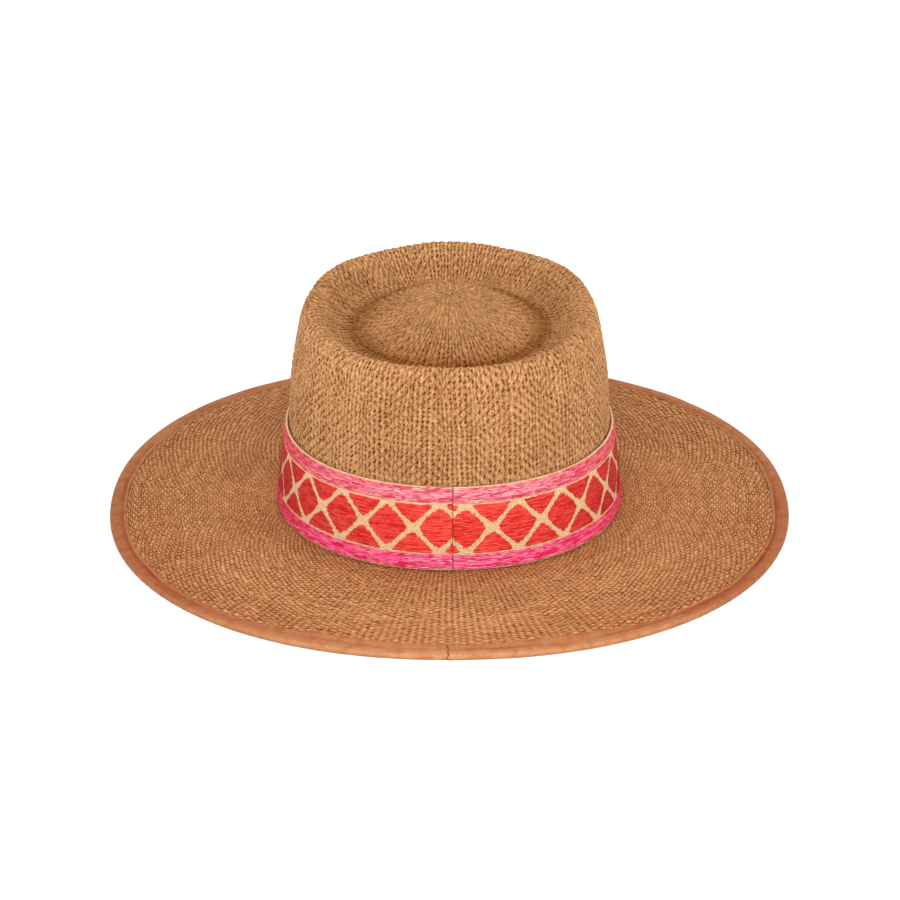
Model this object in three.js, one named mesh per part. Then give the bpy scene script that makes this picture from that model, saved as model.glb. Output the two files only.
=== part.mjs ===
import * as THREE from "three";
import { mergeVertices } from "three/addons/utils/BufferGeometryUtils.js";

// A woven straw fedora with a telescope crown, standing on its brim.
// Millimetres. +Z is up, +Y is the front of the hat, and the origin lies on the
// floor under the middle of the brim.
//
// Every piece is one even thickness of straw or ribbon, bent along a row of oval
// sections. A section gives the middle of that thickness: halfWidth and halfLength
// are its size left to right and back to front, back and front its heights at those
// two ends, full is how square the oval is (2 is an ellipse), and forward how far
// its centre lies in front of the brim's centre.

const facesRound = 72;
const gap = 0.3;
const strawWall = 1.6;
const bandWall = 1.2;
const ribbonWall = 0.6;
const bandFoot = 5;
const bandTop = 48.5;
const bindingInnerEdge = 171.8;

// From the foot up the wall, over the ridge, down into the groove and up the dome.
const crownSections = [
  { halfWidth: 89.7, halfLength: 96.5, back: 4.7, front: 4.7, full: 2.1, forward: 1.5 },
  { halfWidth: 87.3, halfLength: 93.9, back: 26, front: 26, full: 2.08, forward: 1.5 },
  { halfWidth: 84.9, halfLength: 91.4, back: 48.5, front: 48.5, full: 2.06, forward: 1.5 },
  { halfWidth: 83.6, halfLength: 90.2, back: 70, front: 72.4, full: 2.08, forward: 1.5 },
  { halfWidth: 81.8, halfLength: 88.7, back: 82.6, front: 87.6, full: 2.12, forward: 1.5 },
  { halfWidth: 79.3, halfLength: 86.5, back: 94, front: 103.2, full: 2.16, forward: 1.5 },
  { halfWidth: 78.2, halfLength: 85.6, back: 98.6, front: 108.4, full: 2.18, forward: 1.5 },
  { halfWidth: 76.3, halfLength: 83.8, back: 102.6, front: 112.6, full: 2.18, forward: 1.5 },
  { halfWidth: 72.0, halfLength: 79.2, back: 105.4, front: 115.6, full: 2.16, forward: 1.5 },
  { halfWidth: 66.6, halfLength: 73.5, back: 103.2, front: 113.4, full: 2.16, forward: 1.5 },
  { halfWidth: 62.0, halfLength: 68.6, back: 99, front: 109.2, full: 2.16, forward: 1.6 },
  { halfWidth: 57.8, halfLength: 64.2, back: 95.2, front: 105.4, full: 2.16, forward: 1.9 },
  { halfWidth: 51.2, halfLength: 57.2, back: 93.2, front: 103.2, full: 2.14, forward: 2.4 },
  { halfWidth: 44.4, halfLength: 49.8, back: 94.4, front: 104.2, full: 2.1, forward: 3.1 },
  { halfWidth: 33.6, halfLength: 37.8, back: 99.2, front: 107.4, full: 2.05, forward: 4.6 },
  { halfWidth: 20.0, halfLength: 22.4, back: 105.2, front: 110.2, full: 2, forward: 7 },
  { halfWidth: 0, halfLength: 0, back: 110.8, front: 110.8, full: 2, forward: 10.5 },
];

// From under the crown's foot out to the pressed edge.
const brimSections = [
  { halfWidth: 86.6, halfLength: 93.4, back: 3.6, front: 3.6, full: 2.1, forward: 1.5 },
  { halfWidth: 130, halfLength: 138.7, back: 3.6, front: 3.6, full: 2.12, forward: 0.8 },
  { halfWidth: 168.5, halfLength: 179.1, back: 3.6, front: 3.6, full: 2.13, forward: 0 },
  { halfWidth: 175, halfLength: 185.8, back: 1.7, front: 1.7, full: 2.13, forward: 0 },
  { halfWidth: 180.1, halfLength: 190.9, back: 1.7, front: 1.7, full: 2.13, forward: 0 },
];

// The section where one column first reaches a value, between the rows on either side.
function sectionWhere(sections, column, value) {
  const next = sections.findIndex((row) => row[column] >= value);
  const [before, after] = [sections[Math.max(next - 1, 0)], sections[next]];
  const share = (value - before[column]) / (after[column] - before[column] || 1);
  const section = {};
  for (const name of Object.keys(after)) {
    section[name] = THREE.MathUtils.lerp(before[name], after[name], share);
  }
  return section;
}

// A section moved outwards and upwards.
function moved(section, out, up) {
  return {
    ...section,
    halfWidth: section.halfWidth + out,
    halfLength: section.halfLength + out,
    back: section.back + up,
    front: section.front + up,
  };
}

// Where a section lies in the upright plane through one angle: x is the distance from
// its centre and y is its height.
function pointOf(section, angle) {
  const height = THREE.MathUtils.lerp(section.back, section.front, (1 + Math.sin(angle)) / 2);
  if (section.halfWidth === 0) return new THREE.Vector2(0, height);
  const across = Math.abs(Math.cos(angle) / section.halfWidth) ** section.full;
  const along = Math.abs(Math.sin(angle) / section.halfLength) ** section.full;
  return new THREE.Vector2((across + along) ** (-1 / section.full), height);
}

// The outline of one upright cut through a thickness: up one face and back down the other.
// At each bend both faces meet on the line that halves it, so the thickness stays even.
function cutThrough(sections, wall, angle) {
  const middle = sections.map((section) => pointOf(section, angle));
  const squareOff = middle.slice(1).map((end, start) => {
    const run = end.clone().sub(middle[start]).normalize();
    return new THREE.Vector2(run.y, -run.x);
  });
  const halving = middle.map((point, bend) => {
    const before = squareOff[Math.max(bend - 1, 0)];
    const after = squareOff[Math.min(bend, squareOff.length - 1)];
    if (point.x === 0) return new THREE.Vector2(0, Math.sign(before.y));
    return before.clone().add(after).divideScalar(1 + before.dot(after));
  });
  const face = (side) => middle.map((point, bend) => point.clone().addScaledVector(halving[bend], side * wall / 2));
  return [...face(1), ...face(-1).reverse()];
}

// A closed solid of one thickness. A section without a size ends both faces in a point.
function sheet(sections, wall) {
  const rows = [...sections, ...[...sections].reverse()];
  const positions = [];
  const corners = [];
  for (let column = 0; column < facesRound; column += 1) {
    const angle = (2 * Math.PI * column) / facesRound;
    cutThrough(sections, wall, angle).forEach((point, row) => {
      positions.push(point.x * Math.cos(angle), rows[row].forward + point.x * Math.sin(angle), point.y);
      const here = column * rows.length;
      const beside = ((column + 1) % facesRound) * rows.length;
      const above = (row + 1) % rows.length;
      corners.push([here + row, beside + row, beside + above], [here + row, beside + above, here + above]);
    });
  }
  const geometry = new THREE.BufferGeometry();
  geometry.setAttribute("position", new THREE.Float32BufferAttribute(positions, 3));
  geometry.setIndex(corners.flat());
  return withoutSlivers(mergeVertices(geometry, 1e-4));
}

// The faces that ran together in a point are dropped.
function withoutSlivers(geometry) {
  const index = [...geometry.index.array];
  const kept = [];
  for (let first = 0; first < index.length; first += 3) {
    const corners = index.slice(first, first + 3);
    if (new Set(corners).size === 3) kept.push(...corners);
  }
  geometry.setIndex(kept);
  geometry.computeVertexNormals();
  return geometry;
}

function piece(name, geometry, color, roughness) {
  const mesh = new THREE.Mesh(geometry, new THREE.MeshStandardMaterial({ color, roughness, metalness: 0 }));
  mesh.name = name;
  return mesh;
}

// The crown is hollow and open below, with the telescope top pressed into it.
function crown() {
  return piece("crown", sheet(crownSections, strawWall), "#c8965f", 0.85);
}

// The brim is a flat ring that reaches under the crown's foot, where the two are joined.
function brim() {
  return piece("brim", sheet(brimSections, strawWall), "#be8250", 0.85);
}

// The band follows the crown's wall.
function hatBand() {
  const standOff = strawWall / 2 + gap + bandWall / 2;
  const heights = [bandFoot, crownSections[1].back, bandTop];
  const sections = heights.map((height) => moved(sectionWhere(crownSections, "back", height), standOff, 0));
  return piece("hat_band", sheet(sections, bandWall), "#dbbb84", 0.9);
}

// The ribbon is folded over the brim's edge, and its underside is flat where the hat rests.
function brimBinding() {
  const standOff = strawWall / 2 + gap + ribbonWall / 2;
  const [pressed, edge] = brimSections.slice(-2);
  const inner = sectionWhere(brimSections, "halfWidth", bindingInnerEdge);
  const sections = [
    moved(inner, 0, standOff + 0.1),
    moved(pressed, 0, standOff),
    moved(edge, 0.2, standOff),
    moved(edge, 0.7, standOff * 0.65),
    moved(edge, 0.7, -standOff * 0.65),
    moved(edge, 0.2, -standOff),
    moved(pressed, 0, -standOff),
    moved(inner, 0, -standOff - 0.1),
  ];
  return piece("brim_binding", sheet(sections, ribbonWall), "#b96e46", 0.75);
}

const hat = new THREE.Group();
hat.name = "straw_fedora";
hat.add(crown(), brim(), hatBand(), brimBinding());

export default hat;
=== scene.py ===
import math

import bpy
import numpy as np
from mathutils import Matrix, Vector


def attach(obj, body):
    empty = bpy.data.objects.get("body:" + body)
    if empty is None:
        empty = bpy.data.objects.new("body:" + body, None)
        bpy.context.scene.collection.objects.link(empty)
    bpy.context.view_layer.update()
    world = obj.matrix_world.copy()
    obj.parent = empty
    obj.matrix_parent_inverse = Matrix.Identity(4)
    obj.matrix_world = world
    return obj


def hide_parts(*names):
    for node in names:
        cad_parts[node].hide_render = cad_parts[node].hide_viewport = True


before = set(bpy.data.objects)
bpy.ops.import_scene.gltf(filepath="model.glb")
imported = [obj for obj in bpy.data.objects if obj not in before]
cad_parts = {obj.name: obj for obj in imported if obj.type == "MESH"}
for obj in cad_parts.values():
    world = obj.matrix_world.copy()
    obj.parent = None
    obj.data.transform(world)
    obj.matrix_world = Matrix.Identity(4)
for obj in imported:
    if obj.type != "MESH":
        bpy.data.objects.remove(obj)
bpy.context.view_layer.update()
scene = bpy.context.scene
mm = 0.001
rng = np.random.default_rng(23)
print("frame loaded:", ", ".join(sorted(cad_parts)))

# the camera looks at the back of the hat, from a little above
cameraSet = {
    "distance": 1800 * mm,
    "elevation": 23.4,  # degrees
    "aim": (0.3 * mm, 0, 29.2 * mm),
    "lens": 134.9,
    "sensor": 36,
}


def addCamera(c):
    tilt = math.radians(c["elevation"])
    data = bpy.data.cameras.new("hatCamera")
    data.lens = c["lens"]
    data.sensor_width = c["sensor"]
    cam = bpy.data.objects.new("hatCamera", data)
    cam.location = Vector(c["aim"]) + Vector((0, -math.cos(tilt), math.sin(tilt))) * c["distance"]
    cam.rotation_euler = (math.pi / 2 - tilt, 0, 0)
    scene.collection.objects.link(cam)
    scene.camera = cam


addCamera(cameraSet)


# The hat is a row of oval sections, in millimetres: half width, half length, height at
# the back, height at the front, squareness, and how far forward the centre lies.
# A smooth curve runs through them, and s is the distance along it, at the side.
def sectionCurve(table, flatEnd=False):
    rows = np.array(table, float)
    steps = np.hypot(np.diff(rows[:, 0]), np.diff((rows[:, 2] + rows[:, 3]) / 2))
    along = np.r_[0, np.cumsum(steps)]
    slope = np.empty_like(rows)
    slope[1:-1] = (rows[2:] - rows[:-2]) / (along[2:] - along[:-2])[:, None]
    slope[0] = (rows[1] - rows[0]) / steps[0]
    slope[-1] = (rows[-1] - rows[-2]) / steps[-1]
    if flatEnd:
        slope[-1, 2:4] = 0
    return {"rows": rows, "along": along, "slope": slope, "end": along[-1]}


def sectionAt(curve, s):
    along, rows, slope = curve["along"], curve["rows"], curve["slope"]
    k = np.clip(np.searchsorted(along, s, side="right") - 1, 0, len(along) - 2)
    span = (along[k + 1] - along[k])[..., None]
    t = (s - along[k])[..., None] / span
    return (
        (2 * t**3 - 3 * t**2 + 1) * rows[k]
        + (t**3 - 2 * t**2 + t) * span * slope[k]
        + (3 * t**2 - 2 * t**3) * rows[k + 1]
        + (t**3 - t**2) * span * slope[k + 1]
    )


def pointAt(curve, angle, s):
    angle, s = np.broadcast_arrays(angle, s)
    width, length, back, front, full, forward = np.moveaxis(sectionAt(curve, s), -1, 0)
    c, d = np.cos(angle), np.sin(angle)
    acrossShare = np.abs(c / np.maximum(width, 0.01)) ** full
    alongShare = np.abs(d / np.maximum(length, 0.01)) ** full
    radius = (acrossShare + alongShare) ** (-1 / full)
    p = np.stack([radius * c, forward + radius * d, back + (front - back) * (1 + d) / 2], -1)
    return p + curve["shaping"](angle, s) if "shaping" in curve else p


# the point, the directions round and along, and the outward direction
def frameAt(curve, angle, s):
    turn, step = 0.004, 0.12
    around = pointAt(curve, angle + turn, s) - pointAt(curve, angle - turn, s)
    along = pointAt(curve, angle, s + step) - pointAt(curve, angle, s - step)
    out = np.cross(around, along) * curve["outside"]
    return pointAt(curve, angle, s), unit(around), unit(along), unit(out)


def unit(v):
    return v / np.maximum(np.linalg.norm(v, axis=-1, keepdims=True), 1e-9)


# 1 in the middle, falling off softly to both sides
def hill(away, reach):
    return np.exp(-((away / reach) ** 2))


# a table is a list of (place, value), and in between the value goes evenly
def fromTable(place, table):
    return np.interp(place, *zip(*table))


# even random unevenness with a set reach along each side of a grid
def unevenness(shape, reachA, reachB):
    wave = np.fft.fft2(rng.standard_normal(shape))
    a = np.fft.fftfreq(shape[0])[:, None] * reachA
    b = np.fft.fftfreq(shape[1])[None] * reachB
    field = np.real(np.fft.ifft2(wave * np.exp(-2 * math.pi**2 * (a**2 + b**2))))
    return field / field.std()


def addMesh(name, points, faces, uv=None, tones=None, material=None, uvFaces=None):
    faces = np.asarray(faces, np.int32)
    mesh = bpy.data.meshes.new(name)
    mesh.vertices.add(len(points))
    mesh.vertices.foreach_set("co", (np.asarray(points, float) * mm).astype(np.float32).ravel())
    mesh.loops.add(faces.size)
    mesh.loops.foreach_set("vertex_index", faces.ravel())
    mesh.polygons.add(len(faces))
    mesh.polygons.foreach_set("loop_start", np.arange(len(faces), dtype=np.int32) * faces.shape[1])
    mesh.polygons.foreach_set("use_smooth", np.ones(len(faces), bool))
    if uv is not None:
        layer = mesh.uv_layers.new(name="strand")
        corners = faces if uvFaces is None else uvFaces
        layer.uv.foreach_set("vector", np.asarray(uv, np.float32)[corners.ravel()].ravel())
    for label, values in (tones or {}).items():
        layer = mesh.attributes.new(label, "FLOAT", "POINT")
        layer.data.foreach_set("value", np.asarray(values, np.float32).ravel())
    mesh.update(calc_edges=True)
    mesh.materials.append(material)
    piece = bpy.data.objects.new(name, mesh)
    scene.collection.objects.link(piece)
    return piece


# A closed ring: points are (places round, places across, 3) and the section is closed too.
# Its u runs round and v across, in centimetres.
def addRing(name, points, material, tones=None):
    n, m = points.shape[:2]
    wrapped = np.concatenate([points, points[:1]])
    wrapped = np.concatenate([wrapped, wrapped[:, :1]], 1)
    u = np.cumsum(np.linalg.norm(np.diff(wrapped, axis=0, prepend=wrapped[:1]), axis=-1).mean(1))
    v = np.cumsum(np.linalg.norm(np.diff(wrapped, axis=1, prepend=wrapped[:, :1]), axis=-1).mean(0))
    uv = np.stack(np.broadcast_arrays(u[:, None], v[None]), -1).reshape(-1, 2) / 10
    i, j = np.meshgrid(np.arange(n), np.arange(m), indexing="ij")
    i, j = i.ravel(), j.ravel()
    nextI, nextJ = (i + 1) % n, (j + 1) % m
    faces = np.stack([i * m + j, nextI * m + j, nextI * m + nextJ, i * m + nextJ], 1)
    k = i * (m + 1) + j
    uvFaces = np.stack([k, k + m + 1, k + m + 2, k + 1], 1)
    return addMesh(name, points.reshape(-1, 3), faces, uv, tones, material, uvFaces)


def finishPiece(piece, node):
    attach(piece, "root")
    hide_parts(node)
    triangles = sum(len(p.vertices) - 2 for p in piece.data.polygons)
    print(piece.name, triangles, "triangles")
    return piece


# Ribbons side by side: mid points, the way across and the way out are (ribbons, samples, 3),
# and width is (ribbons, samples). Each is three points wide, with its edges set lower.
def ribbons(mid, across, out, width, edgeDrop, firstIndex=0, edgeGapShade=0.0, midGapShade=0.0):
    count, samples = width.shape
    half = across * width[..., None] / 2
    low = out * np.broadcast_to(edgeDrop, width.shape)[..., None]
    points = np.stack([mid - half - low, mid, mid + half - low], 2)
    steps = np.linalg.norm(np.diff(mid, axis=1), axis=-1)
    along = np.concatenate([np.zeros((count, 1)), np.cumsum(steps, 1)], 1)
    u = np.broadcast_to([0.02, 0.5, 0.98], (count, samples, 3))
    u = firstIndex + np.arange(count)[:, None, None] + u
    v = np.repeat(along[..., None], 3, 2) / 10
    at = np.arange(count * samples * 3).reshape(count, samples, 3)
    corners = [at[:, :-1, :-1], at[:, :-1, 1:], at[:, 1:, 1:], at[:, 1:, :-1]]
    facing = np.cross(across[0, 0], mid[0, 1] - mid[0, 0]) @ out[0, 0]
    faces = np.stack(corners if facing > 0 else corners[::-1], -1).reshape(-1, 4)
    # the gap values here are painted shade, for the edges and for the middle of each ribbon
    gaps = np.stack([edgeGapShade + 0 * width, midGapShade + 0 * width, edgeGapShade + 0 * width], -1)
    return points.reshape(-1, 3), faces, np.stack([u, v], -1).reshape(-1, 2), gaps.ravel()


def joined(parts):
    starts = np.cumsum([0] + [len(part[0]) for part in parts])
    points, faces, uvs, gaps = zip(*parts)
    faces = [f + start for f, start in zip(faces, starts)]
    return np.concatenate(points), np.concatenate(faces), np.concatenate(uvs), np.concatenate(gaps)


# how far each kind of unevenness reaches over its grid, across the columns and along them
reaches = {
    "wander": (0.7, 2.6), "stray": (1.6, 30),
    "sway": (2.2, 0.9), "drift": (8, 3),
    "slubColumn": (0.4, 1.4), "slubRow": (1.4, 0.4),
    "lumps": (1.1, 1.1), "lines": (0.6, 9),
    "spots": (0.7, 0.7), "shade": (0.8, 0.8),
}
# how the holes, painted dark as shade, and the painted shade of the gaps vary
holes = {"spots": 0.8, "softness": 0.3, "shadeChange": 0.35, "openShade": 0.1}


# Unevenness on grids of n columns and m rows. A side that is doubled has a place halfway
# between each two.
def weaveGrids(w, rowPlaces):
    n, m = w["columns"], len(rowPlaces)
    columnGrid, rowGrid, halfGrid = (n, 2 * m), (2 * n, m), (2 * n, 2 * m)
    halfPlaces = np.interp(np.arange(2 * m) / 2, np.arange(m), rowPlaces)
    halfAngles = w["start"] + 2 * math.pi / n * np.arange(2 * n) / 2
    wander = unevenness(columnGrid, *reaches["wander"]) * w["wander"]
    wander = wander + unevenness(columnGrid, *reaches["stray"]) * w["stray"]
    wander = wander * fromTable(halfPlaces, w["strayKept"])
    sway = unevenness(rowGrid, *reaches["sway"]) * w["sway"]
    sway = sway + unevenness(rowGrid, *reaches["drift"]) * w["drift"]
    slubColumn = unevenness(columnGrid, *reaches["slubColumn"])
    slubRow = unevenness(rowGrid, *reaches["slubRow"])
    lumps = unevenness(halfGrid, *reaches["lumps"]) * w["lumps"]
    # in the looser places, holes come in lines along some columns
    loose = openness(w, halfAngles[:, None], halfPlaces[None])
    lines = w["holeLines"] * unevenness(halfGrid, *reaches["lines"]) * np.minimum(loose, 1)
    # spots are the holes, painted dark as shade, and shade is the painted shade of the gaps between
    # strands
    spots = holes["spots"] * unevenness(halfGrid, *reaches["spots"]) + lines
    spots = 1 / (1 + np.exp(-(spots - w["holesAbove"] + loose) / holes["softness"]))
    change = 1 + holes["shadeChange"] * unevenness(halfGrid, *reaches["shade"])
    shade = w["gapShade"] * change + holes["openShade"] * loose
    # ribs is highest at the middle of the back, where the painted shade of the gaps is set apart
    # from the rest
    fromBack = (halfAngles + math.pi / 2 + math.pi) % (2 * math.pi) - math.pi
    ribs = hill(fromBack, math.radians(w["ribReach"]))[:, None]
    shade = shade * (1 - w["ribCalm"] * ribs)
    shade = np.clip(shade + (1 - shade) * spots, 0, 1)
    return {
        "wander": wander, "sway": sway, "slubColumn": slubColumn, "slubRow": slubRow,
        "lumps": lumps, "spots": spots, "shade": shade, "ribs": ribs,
    }


def weaveColumns(curve, w, grids, rowPlaces, zone, firstIndex):
    first, last, skip = zone
    n, m = w["columns"], len(rowPlaces)
    turn = 2 * math.pi / n
    wander, spots, shade = grids["wander"], grids["spots"], grids["shade"]
    i = np.arange(0, n, skip)
    k = np.arange(2 * first, 2 * last + 1)
    kk = np.minimum(k, 2 * m - 1)
    s = np.interp(k / 2, np.arange(m), rowPlaces)[None]
    angle = w["start"] + turn * (i[:, None] + wander[i][:, kk] * skip)
    p, around, _, out = frameAt(curve, angle, np.broadcast_to(s, angle.shape))
    toNext = 1 + (wander[(i + skip) % n] - wander[i])[:, kk]
    toLast = 1 + (wander[i] - wander[(i - skip) % n])[:, kk]
    ahead = pointAt(curve, angle + turn * skip * toNext / 2, s)
    behind = pointAt(curve, angle - turn * skip * toLast / 2, s)
    pitch = np.linalg.norm(ahead - behind, axis=-1)
    over = np.cos(math.pi * (k[None] / 2 + (i // skip)[:, None]))
    gaps = np.maximum(spots[(2 * i + 1) % (2 * n)], spots[2 * i - 1])[:, kk]
    uneven = 1 + w["slub"] * grids["slubColumn"][i][:, kk] + w["columnPinch"] * over
    width = pitch * w["columnWidth"] * uneven * (1 - w["holeDepth"] * gaps)
    lift = w["columnLift"] * over + w["columnRise"] + grids["lumps"][2 * i][:, kk]
    # painted shade of the gaps: at the corners, along the grooves between columns, and where the
    # strand passes under another
    between, under = k[None] % 2, np.maximum(-over, 0)
    rib = grids["ribs"][2 * i]
    edgeGapShade = between * shade[(2 * i + 1) % (2 * n)][:, kk] + (1 - between) * w["columnGroove"]
    midGapShade = w["underShade"] * under + w["midShade"] * between
    midGapShade = (midGapShade + w["overShade"] * np.maximum(over, 0)) * (1 - w["ribShade"] * rib)
    kept = gapsKept(w, rib, s)
    drop = w["edgeDrop"] * np.minimum(width / 2, 1)
    mid = p + out * lift[..., None]
    strands = ribbons(mid, around, out, width, drop, firstIndex, edgeGapShade * kept, midGapShade * kept)
    return strands, len(i)


def weaveRows(curve, w, grids, rowPlaces, zone, firstIndex):
    first, last, skip = zone
    n, m = w["columns"], len(rowPlaces)
    sway, spots, shade = grids["sway"], grids["spots"], grids["shade"]
    j = np.arange(first, last + (last == m - 1))
    c = np.arange(0, 2 * n // skip + 1)
    cc = (c * skip) % (2 * n)
    angle = w["start"] + 2 * math.pi / n * skip * c[None] / 2
    angle = np.broadcast_to(angle, (len(j), len(c)))
    gap = np.gradient(rowPlaces)[j][:, None]
    s = rowPlaces[j][:, None] + sway[cc][:, j].T * gap
    p, _, along, out = frameAt(curve, angle, np.clip(s, 0.05, curve["end"] - 0.2))
    over = -np.cos(math.pi * (c[None] / 2 + j[:, None]))
    ahead = np.minimum(2 * j + 1, 2 * m - 1)
    gaps = np.maximum(spots[:, ahead], spots[:, 2 * j - 1])[cc].T
    apart = 1 + (sway[:, np.minimum(j + 1, m - 1)] - sway[:, np.maximum(j - 1, 0)])[cc].T / 2
    uneven = 1 + w["slub"] * grids["slubRow"][cc][:, j].T + w["rowPinch"] * over
    width = gap * apart * w["rowWidth"] * uneven * (1 - w["holeDepth"] * gaps)
    lumps = grids["lumps"][cc][:, np.minimum(2 * j, 2 * m - 1)].T
    lift = w["rowLift"] * over - w["columnRise"] + lumps
    # painted shade of the gaps: at the corners, along the grooves between rows, at the ends of the
    # beads and where the strand passes under another
    between, under = c[None] % 2, np.maximum(-over, 0)
    rib = grids["ribs"][cc].T
    rowGroove = fromTable(rowPlaces[j], w["rowGrooves"])[:, None]
    edgeGapShade = between * shade[:, ahead][cc].T
    edgeGapShade = edgeGapShade + (1 - between) * rowGroove * (1 - w["ribShade"] * rib)
    midGapShade = w["underShade"] * under + w["beadEnds"] * between
    kept = gapsKept(w, rib, rowPlaces[j][:, None])
    drop = w["edgeDrop"] * np.minimum(width / 2, 1)
    mid = p + out * lift[..., None]
    strands = ribbons(mid, along, out, width, drop, firstIndex, edgeGapShade * kept, midGapShade * kept)
    return strands, len(j)


# Plain weave over a curve. A zone is (first row, last row, columns from one that is kept to
# the next): where the hat narrows, fewer columns go on.
def weave(curve, w, rowPlaces, zones):
    grids = weaveGrids(w, rowPlaces)
    layers = []
    for layStrands in (weaveColumns, weaveRows):
        parts, index = [], 0
        for zone in zones:
            strands, count = layStrands(curve, w, grids, rowPlaces, zone, index)
            parts.append(strands)
            index += count
        layers.append(joined(parts))
    return layers


# the two layers of strands over one of the solids
def layStraw(node, layers, paintedShadeOf, material):
    for name, strands in zip(("columns", "rows"), layers):
        points, faces, uv, gap = strands
        # tone and gap carry painted shade to the material, and on the brim tone also painted red
        # light from the band
        tones = {"tone": paintedShadeOf(points), "gap": gap}
        piece = addMesh(f"{node}_straw_{name}", points, faces, uv, tones, material)
        finishPiece(piece, node)


# how much of the gaps' painted shade stays: each place has an amount for the back and one for the
# rest
def gapsKept(w, rib, places):
    at, back, rest = zip(*w["gapsKept"])
    return np.interp(places, at, back) * rib + np.interp(places, at, rest) * (1 - rib)


# where the weave is looser: centre and reach in degrees, lowest and highest place, amount
def openness(w, angle, s):
    share = np.zeros(np.broadcast_shapes(angle.shape, s.shape))
    for centre, reach, low, high, amount in w["open"]:
        off = np.angle(np.exp(1j * (angle - math.radians(centre))))
        between = np.clip((s - low) / 8, 0, 1) * np.clip((high - s) / 8, 0, 1)
        share = np.maximum(share, amount * hill(off, math.radians(reach)) * between)
    return share


# materials
def newMaterial(name):
    mat = bpy.data.materials.new(name)
    mat.use_nodes = True
    tree = mat.node_tree
    tree.nodes.clear()
    out = tree.nodes.new("ShaderNodeOutputMaterial")
    shader = tree.nodes.new("ShaderNodeBsdfPrincipled")
    tree.links.new(shader.outputs[0], out.inputs[0])
    return mat, tree, shader


def addNode(tree, kind, links=None, **settings):
    node = tree.nodes.new("ShaderNode" + kind)
    for key, value in settings.items():
        setattr(node, key, value)
    for socket, source in (links or {}).items():
        if isinstance(source, bpy.types.NodeSocket):
            tree.links.new(source, node.inputs[socket])
        else:
            node.inputs[socket].default_value = source
    return node


def maths(tree, operation, a, b=0.0, clamp=False):
    return addNode(tree, "Math", {0: a, 1: b}, operation=operation, use_clamp=clamp).outputs[0]


def times(tree, a, b):
    return maths(tree, "MULTIPLY", a, b)


# base + source * share
def addShare(tree, base, source, share):
    return maths(tree, "ADD", base, times(tree, source, share))


# from 0 to 255 as on a screen to the values that a shader takes
def linear(color):
    shares = [c / 255 for c in color]
    return tuple(c / 12.92 if c <= 0.04 else ((c + 0.055) / 1.055) ** 2.4 for c in shares) + (1,)


def ramp(tree, factor, stops):
    node = addNode(tree, "ValToRGB", {0: factor})
    elements = node.color_ramp.elements
    while len(elements) < len(stops):
        elements.new(0.5)
    for element, (place, color) in zip(elements, stops):
        element.position = place
        element.color = linear(color)
    return node.outputs[0]


# from low to high the value goes from 0 to the top
def rising(tree, value, low, high, top=1.0):
    settings = {0: value, 1: low, 2: high, 3: 0.0, 4: top}
    return addNode(tree, "MapRange", settings).outputs[0]


def noise(tree, place, scale, detail, roughness=0.5):
    settings = {"Vector": place, "Scale": scale, "Detail": detail, "Roughness": roughness}
    return addNode(tree, "TexNoise", settings).outputs[0]


def scaled(tree, vector, by):
    return addNode(tree, "VectorMath", {0: vector, 1: by}, operation="MULTIPLY").outputs[0]


def pointValue(tree, name):
    return addNode(tree, "Attribute", attribute_name=name).outputs["Fac"]


# a strand's number, a random value of its own, and the share of the way across it
def strandPlaces(tree, u):
    index = maths(tree, "FLOOR", u)
    own = addNode(tree, "TexWhiteNoise", {"W": index}, noise_dimensions="1D").outputs[0]
    return index, own, maths(tree, "FRACT", u)


def uvPlaces(tree):
    uv = addNode(tree, "UVMap", uv_map="strand").outputs[0]
    split = addNode(tree, "SeparateXYZ", {0: uv})
    return uv, split.outputs[0], split.outputs[1]


def together(tree, x, y, z):
    return addNode(tree, "CombineXYZ", {0: x, 1: y, 2: z}).outputs[0]


# the last step of a cloth or straw material
def finishShader(tree, shader, look, color, rough, height):
    tree.links.new(color, shader.inputs["Base Color"])
    tree.links.new(rough, shader.inputs["Roughness"])
    settings = {"Strength": look["bump"], "Distance": look["bumpDepth"], "Height": height}
    bump = addNode(tree, "Bump", settings)
    tree.links.new(bump.outputs[0], shader.inputs["Normal"])
    shader.inputs["Specular IOR Level"].default_value = look["specular"]


def mixColors(tree, mode, factor, a, b):
    links = {0: factor, 6: a, 7: b}
    return addNode(tree, "Mix", links, data_type="RGBA", blend_type=mode).outputs[2]


def shaded(tree, color, amount, tint):
    return mixColors(tree, "MULTIPLY", amount, color, linear(tint))


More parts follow.
